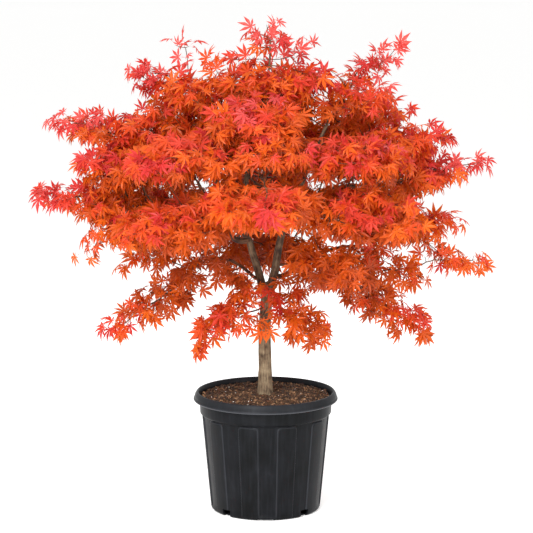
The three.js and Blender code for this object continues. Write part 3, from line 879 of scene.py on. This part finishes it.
def grow_more(wood, grown_from, allowed, lights):
    """Grows new wood from the allowed points only, and adds it to the wood there is."""
    points, parents = grow(wood[allowed], lights)
    old = len(allowed)
    numbers = np.concatenate([allowed, len(wood) + np.arange(len(points) - old)])
    return np.vstack([wood, points[old:]]), np.concatenate([grown_from, numbers[parents[old:]]])


# %% Where twigs may start
LOWEST_START = {"trunk": 0.5}  # metres above the ground
USUAL_LOWEST = 0.57
starts, start_radii, start_limb = [], [], []
for node, (path, radii) in paths.items():
    rows = np.arange(4, len(path), 5)
    rows = rows[path[rows, 2] > LOWEST_START.get(node, USUAL_LOWEST)]
    starts.append(path[rows])
    start_radii.append(radii[rows])
    start_limb += [node] * len(rows)
starts, start_radii, start_limb = np.vstack(starts), np.concatenate(start_radii), np.array(start_limb)
print("twigs may start at", len(starts), "places")

# %% The crown first, then what hangs below it
# The masses that hang below the crown grow from a limb of their own, and the rest from any wood.
# Otherwise long bare twigs would come down to them from the leaves above. The points of those
# masses that lie as high as the lowest boughs count as part of the crown.
HANGING = {
    "leaves_skirt_left": "trunk",
    "leaves_skirt_right": "trunk",
    "leaves_left_fall": "bough_left_fall",
    "leaves_right_fall": "bough_right_fall",
}
feeder = np.array([HANGING.get(node, "") for node in LEAF_NODES])[light_owner]
feeder[(lights[:, 2] > USUAL_LOWEST) & (feeder == "trunk")] = ""
wood, grown_from = starts, np.full(len(starts), -1)
wood, grown_from = grow_more(wood, grown_from, np.arange(len(wood)), lights[feeder == ""])
for limb in sorted(set(HANGING.values())):
    own = np.flatnonzero(start_limb == limb)
    wood, grown_from = grow_more(wood, grown_from, own, lights[feeder == limb])
is_twig = grown_from >= 0
for _ in range(3):  # each twig point moves half way to the mean of its neighbours
    total, twigs_on = np.zeros_like(wood), np.zeros(len(wood))
    np.add.at(total, grown_from[is_twig], wood[is_twig])
    np.add.at(twigs_on, grown_from[is_twig], 1)
    inner = is_twig & (twigs_on > 0)
    after = total[inner] / twigs_on[inner, None]
    wood[inner] = 0.5 * wood[inner] + 0.25 * wood[grown_from[inner]] + 0.25 * after
# Counted back from the tips: how many tips a point feeds, and how far off the furthest one is.
tips = np.zeros(len(wood))
to_tip = np.zeros(len(wood))
for i in range(len(wood) - 1, len(starts) - 1, -1):
    tips[i] = max(tips[i], 1)
    tips[grown_from[i]] += tips[i]
    to_tip[grown_from[i]] = max(to_tip[grown_from[i]], to_tip[i] + STEP)
print("twigs:", len(wood) - len(starts), "points,", int((is_twig & (to_tip == 0)).sum()), "tips")

# %% [markdown]
# ### Twig thickness
#
# A branch is about as thick in section as all the twigs that it feeds put together. Here the
# radius is 0.75 mm times the number of tips beyond it, to the power 0.42, and never more than
# four fifths of the limb that it stands on. Each twig runs from its fork to a tip as one tube, and
# with the leaves on it, it is one spray.

# %% Twig radii and sprays
TIP_RADIUS, RADIUS_POWER = 0.75 * MM, 0.42
main_child = np.full(len(wood), -1)
for i in range(len(starts), len(wood)):
    rival = main_child[grown_from[i]]
    if rival < 0 or tips[i] > tips[rival]:
        main_child[grown_from[i]] = i
twig_radius = TIP_RADIUS * tips.clip(1) ** RADIUS_POWER
for i in range(len(starts), len(wood)):
    parent = grown_from[i]
    limit = 0.8 * start_radii[parent] if parent < len(starts) else twig_radius[parent]
    twig_radius[i] = min(twig_radius[i], limit)

sprays = []
for i in range(len(starts), len(wood)):
    parent = grown_from[i]
    if parent >= len(starts) and main_child[parent] == i:
        continue
    spray = [parent, i]
    while main_child[spray[-1]] >= 0:
        spray.append(main_child[spray[-1]])
    sprays.append(np.array(spray))
print("sprays:", len(sprays), "longest", round(max(len(spray) for spray in sprays) * STEP / MM), "mm")

# %% Twig tubes
POINT_RADIUS = 0.45 * MM
THICK, THICK_SIDES, THIN_SIDES = 1.6 * MM, 6, 4
GRAIN_SHIFT = 0.37  # metres along the grain from one twig to the next, so that no two look alike
parts = []
for spray in sprays:
    line, radii = wood[spray], twig_radius[spray]
    radii[0] = radii[1] * 1.2
    radii[-1] = POINT_RADIUS
    if len(line) == 2:
        line = np.vstack([line[0], line.mean(0), line[1]])
        radii = np.array([radii[0], radii.mean(), radii[1]])
    parts.append(tube(line, radii, THIN_SIDES if radii[0] < THICK else THICK_SIDES))

order = np.argsort([points[:, 2].mean() for points, _, _ in parts])
TWIG_PIECES = ("twigs_low", "twigs_middle", "twigs_high")
for members, name in zip(np.array_split(order, len(TWIG_PIECES)), TWIG_PIECES):
    points, faces = join_arrays([parts[i][:2] for i in members])
    grain = np.concatenate([parts[i][2] + (0, 0, GRAIN_SHIFT * i) for i in members])
    piece = make_piece(name, points, faces, [young_bark])
    store = piece.data.attributes.new("grain", "FLOAT_VECTOR", "POINT")
    store.data.foreach_set("vector", grain.astype(np.float32).ravel())
    settle(piece, "young_bark")
    print(" ", name, len(faces), "faces")

# %% [markdown]
# ## Leaves
#
# A leaf of this maple is a star of seven lobes, about 60 mm across. The middle lobe is the
# longest and the two by the stalk are small; each is widest half way out, runs into a long point,
# is folded a little along its vein, and droops. Thousands of leaves have to stay light, so each
# has about sixty faces and the fine teeth of its edge are left out. The same leaf is drawn eight
# times with small differences, and every leaf on the tree is one of the eight, scaled and turned.

# %% Leaf shapes
LOBE_ANGLES = np.radians([-124, -80, -39, 0, 39, 80, 124])
LOBE_LENGTHS = np.array([15, 27, 34, 37, 34, 27, 15])  # mm
LOBE_WIDTH, NOTCH = 0.13, 0.19  # half the width, and a notch's depth from the middle, over length
SHOULDER, NECK = 0.5, 0.77  # where along a lobe its outline turns
STALK = 27  # mm
STALK_BEND = math.radians(42)
LEAF_SHAPES = 8
stalk_foot = STALK * np.array([-math.cos(STALK_BEND), 0, -math.sin(STALK_BEND)])


def leaf_shape(chance):
    """One leaf in mm: x towards the tip, y to the left, z out of the upper side. Each lobe has its
    vein's middle, two shoulders on each side and a tip; notches lie between the lobes. The edges
    stand above the vein by a share of the half width, and height falls by a share of r squared."""
    angle = LOBE_ANGLES + chance.normal(0, 0.05, 7)
    length = LOBE_LENGTHS * chance.normal(1, 0.06, 7)
    width = LOBE_WIDTH * length * chance.normal(1, 0.06, 7)
    fold, droop = chance.uniform(0.2, 0.6), chance.uniform(0.002, 0.011)
    along = np.stack([np.cos(angle), np.sin(angle)], -1)
    aside = np.stack([-np.sin(angle), np.cos(angle)], -1)

    def station(share, half, rise):
        """One point on each lobe: a share of its length out, and half widths aside and up."""
        flat = along * (share * length)[:, None] + aside * (half * width)[:, None]
        return np.column_stack([flat, rise * width * fold])

    notch_angle = np.concatenate([[angle[0] - 0.5], (angle[1:] + angle[:-1]) / 2, [angle[-1] + 0.5]])
    notch_r = NOTCH * np.minimum(np.append(length, length[-1]), np.insert(length, 0, length[0]))
    notches = np.stack([notch_r * np.cos(notch_angle), notch_r * np.sin(notch_angle), 0.08 * notch_r], -1)
    rows = [station(SHOULDER, 0, 0), station(SHOULDER, -1, 1), station(SHOULDER, 1, 1),
            station(NECK, -0.5, 0.5), station(NECK, 0.5, 0.5), station(1, 0, 0)]
    blade = np.concatenate([[[0, 0, 0]], notches, *rows])
    blade[:, 2] -= droop * (blade[:, :2] ** 2).sum(1)
    blade[:, 2] -= 0.0012 * np.abs(blade[:, 1]) ** 2 * chance.uniform(0.3, 1.6)
    lobe = np.arange(7)
    right, left = 1 + lobe, 2 + lobe
    vein, shoulder_r, shoulder_l, neck_r, neck_l, tip = (9 + 7 * k + lobe for k in range(6))
    centre = 0 * lobe
    triangles = [(centre, right, vein), (right, shoulder_r, vein), (shoulder_r, neck_r, vein),
                 (neck_r, tip, vein), (vein, tip, neck_l), (vein, neck_l, shoulder_l),
                 (vein, shoulder_l, left), (centre, vein, left)]
    triangles = np.concatenate([np.stack(t, -1) for t in triangles])
    # The stalk is a thin spindle with three sides, bowed upwards a little.
    turn = np.radians([90, 210, 330])
    ring = 0.75 * np.stack([0 * turn, np.cos(turn), np.sin(turn)], -1)
    ring = 0.5 * stalk_foot + np.array([0, 0, 2.0]) + ring
    stalk = np.concatenate([[stalk_foot], ring, [[0.6, 0, -0.2]]])
    this, following = 1 + np.arange(3), 1 + (np.arange(3) + 1) % 3
    first_end, last_end = 0 * this, 0 * this + 4
    spindle = np.concatenate([np.stack([first_end, this, following], -1),
                              np.stack([last_end, following, this], -1)])
    return join_arrays([(blade, triangles), (stalk, spindle)])


chance = np.random.default_rng(77)
leaf_shapes = [leaf_shape(chance) for _ in range(LEAF_SHAPES)]
leaf_points = np.stack([points for points, _ in leaf_shapes])
leaf_faces = leaf_shapes[0][1]
print("leaf:", leaf_points.shape[1], "points,", len(leaf_faces), "faces")

# %% [markdown]
# ### Where the leaves sit
#
# Leaves stand in pairs on opposite sides of a young twig, each pair turned a quarter from the one
# before, with a last leaf at the tip. A leaf holds its upper side to the light: upwards, out from
# the trunk or to either side of that way, and a little to the front, where the tree stands open to
# the room. It lets its tips hang, though less so at the top of the crown. Leaves that would stand
# well out of their mass are left off, which keeps the outline and the gaps of the crown. Round the
# trunk they may stand further out, because the shoots there are thin and the masses small.

# %% Leaf sites
LEAFY = 95 * MM  # from the tip
site, out, spray_of = [], [], []
for number, spray in enumerate(sprays):
    line = wood[spray]
    forward = unit(np.gradient(line, axis=0))
    level = unit(np.cross(forward, UP) + 1e-6)
    steep = np.cross(level, forward)
    turn_at = number
    for k in range(len(spray) - 1, 0, -2):
        if to_tip[spray[k]] > LEAFY:
            break
        across = level[k] if turn_at % 2 else steep[k]
        turn_at += 1
        for way in (across, -across):
            site.append(line[k])
            out.append(0.5 * forward[k] + way)
            spray_of.append(number)
    site.append(line[-1])
    out.append(forward[-1])
    spray_of.append(number)
site, out, spray_of = np.array(site), unit(np.array(out)), np.array(spray_of)
count = len(site)
print("leaf sites:", count)

# %% How each leaf is held
# The tip's way out is mixed from the site's own, the way from the trunk, down, and chance. The
# upper side's way is mixed in the same manner and then made square to the tip's.
TOP_FROM, TOP_OVER = 0.95, 0.2  # metres: leaves hang less and less over this stretch of height
size = chance.normal(0.82, 0.13, count).clip(0.5, 1.15)
radial = unit(site * (1, 1, 0))
near_top = ((site[:, 2:] - TOP_FROM) / TOP_OVER).clip(0, 1)
droop = chance.uniform(0.1, 0.95, (count, 1)) * (1 - 0.8 * near_top)
tip_way = unit(0.65 * out + 0.25 * radial - droop * UP + chance.normal(0, 0.22, (count, 3)))
spin = chance.uniform(-1.4, 1.4, (count, 1))  # radians to either side
turned = np.cos(spin) * radial + np.sin(spin) * np.cross(UP, radial)
face_way = 0.45 * UP + 0.65 * turned + 0.25 * FRONT + chance.normal(0, 0.25, (count, 3))
normal = unit(face_way - (face_way * tip_way).sum(1, keepdims=True) * tip_way)
leaf_frame = np.stack([tip_way, np.cross(normal, tip_way), normal], 1)
origin = site - np.einsum("j,njk->nk", stalk_foot, leaf_frame) * size[:, None] * MM

# %% Leaves that stay within their mass
BLADE_MIDDLE = 14 * MM
RIM = 0.75
OUT_AT_RIM, OUT_WITHIN, OUT_AT_TRUNK = 9 * MM, 18 * MM, 45 * MM
middle = origin + tip_way * size[:, None] * BLADE_MIDDLE
depth, owner = depth_in_mass(middle)
x, y, z = middle.T
by_fork = (np.abs(x) < 0.22) & (y < 0.02) & (z < 0.68)
by_leader = (np.hypot(x, y) < 0.07) & (z > 1.05) & (z < 1.2)
may_stand_out = np.where(from_middle(middle) > RIM, OUT_AT_RIM, OUT_WITHIN)
may_stand_out[by_fork | by_leader] = OUT_AT_TRUNK
keep = depth > -may_stand_out
print("leaves:", count, "sites,", keep.sum(), "kept")

# %% [markdown]
# ### Autumn colours
#
# The sun turns a maple from the outside in: crimson and scarlet on top and at the tips, orange
# and russet within and below, and redder again on the lowest shoots, which hang in the open.
# The tints also carry painted light: the coral pink on top of each mass is a painted highlight,
# and the darker rust and russet within and below are partly painted shade.
# Leaves on one twig turn together, so every spray gets one tint and a few of its leaves the next
# one. Each tint is a plain colour. A leaf is thin, and lets through about a third of the light,
# more orange than what it throws back.


# %% Leaf finishes
LET_THROUGH = 0.36
# The tints run from painted shade to painted highlight, as well as from the last to turn to the first.
TINTS = {  # from the last to turn to the first: what a leaf throws back, and what it lets through
    "rust": ("#a23c0c", "#b84c0a"),
    "russet": ("#b2460a", "#c8560a"),
    "burnt_orange": ("#be4c0c", "#d86008"),
    "orange": ("#d05812", "#ea7010"),
    "vermilion": ("#ca4618", "#e65a16"),
    "scarlet": ("#c63a26", "#e44a24"),
    "crimson": ("#ba2e2c", "#da3e30"),
    "coral": ("#cc4a46", "#e65844"),
}


def autumn_leaf(name, code, glow):
    """Thin leaf: a satin upper skin, mixed with light that comes through the blade."""
    finish, tree, shader = start_finish(name, base_color=linear(code), roughness=0.5,
                                        specular_ior_level=0.35)
    through = add_node(tree, "ShaderNodeBsdfTranslucent", {"Color": linear(glow)})
    both = add_node(tree, "ShaderNodeMixShader", {0: LET_THROUGH, 1: shader.outputs["BSDF"],
                                                  2: through.outputs["BSDF"]})
    tree.links.new(both.outputs["Shader"], tree.nodes["Material Output"].inputs["Surface"])
    return finish


leaf_finishes = [autumn_leaf("maple_leaf_" + name, *colours) for name, colours in TINTS.items()]
print("tints:", ", ".join(TINTS))

# %% Which tint each leaf has
# How ripe a leaf is, and how lit it is painted, from about 0 to 1: more at the crown's outline,
# high on the tree, and on the lowest shoots, and more on top of its own mass, which is painted
# light: the tops of the masses get the pinker tints as a painted highlight, and their lower parts
# the darker ones as painted shade.
mass_middle = np.array([points.mean(0) for points, _ in mass_meshes])
site_height = site[:, 2]
above = ((site_height - mass_middle[owner, 2]) / (40 * MM)).clip(-1, 1)
ripe_and_lit = 0.75 * ((from_middle(site) - 0.35) / 0.65).clip(0, 1) + 0.28 * above
ripe_and_lit += 0.2 * ((site_height - 0.7) / 0.5).clip(-0.3, 1)
ripe_and_lit += 0.22 * ((0.58 - site_height) / 0.08).clip(0, 1)
spray_shift = chance.normal(0.03, 0.14, len(sprays))
spray_size = np.bincount(spray_of, minlength=len(sprays)).clip(1)
spray_ripe_and_lit = np.bincount(spray_of, ripe_and_lit, minlength=len(sprays)) / spray_size
TINTS_FOR_RIPE_AND_LIT, LEAF_SHIFT = 7.2, 0.55
tint = (spray_ripe_and_lit + spray_shift)[spray_of] * TINTS_FOR_RIPE_AND_LIT + chance.normal(0, LEAF_SHIFT, count)
tint = np.rint(tint).clip(0, len(TINTS) - 1).astype(int)
print("leaves of each tint:", np.bincount(tint[keep], minlength=len(TINTS)).tolist())

# %% Leaf pieces
RED_FROM = 0.8  # metres: above this height of a mass's top, the redder slot's name is picked
which_shape = chance.integers(0, len(leaf_points), count)
leaves_made = 0
for number, node in enumerate(LEAF_NODES):
    mine = np.flatnonzero(keep & (owner == number))
    shapes = leaf_points[which_shape[mine]] * size[mine, None, None] * MM
    points = np.einsum("nvj,njk->nvk", shapes, leaf_frame[mine]) + origin[mine, None, :]
    rows = leaf_faces[None] + leaf_points.shape[1] * np.arange(len(mine))[:, None, None]
    piece = make_piece(node.replace("leaves_", "foliage_"), points.reshape(-1, 3), rows.reshape(-1, 3),
                       leaf_finishes, np.repeat(tint[mine], len(leaf_faces)), smooth=False)
    settle(piece, "leaves_red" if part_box(node)[1].z > RED_FROM else "leaves_orange", node)
    leaves_made += len(mine)
print("leaf pieces:", len(LEAF_NODES), "with", leaves_made, "leaves and",
      leaves_made * len(leaf_faces), "faces")
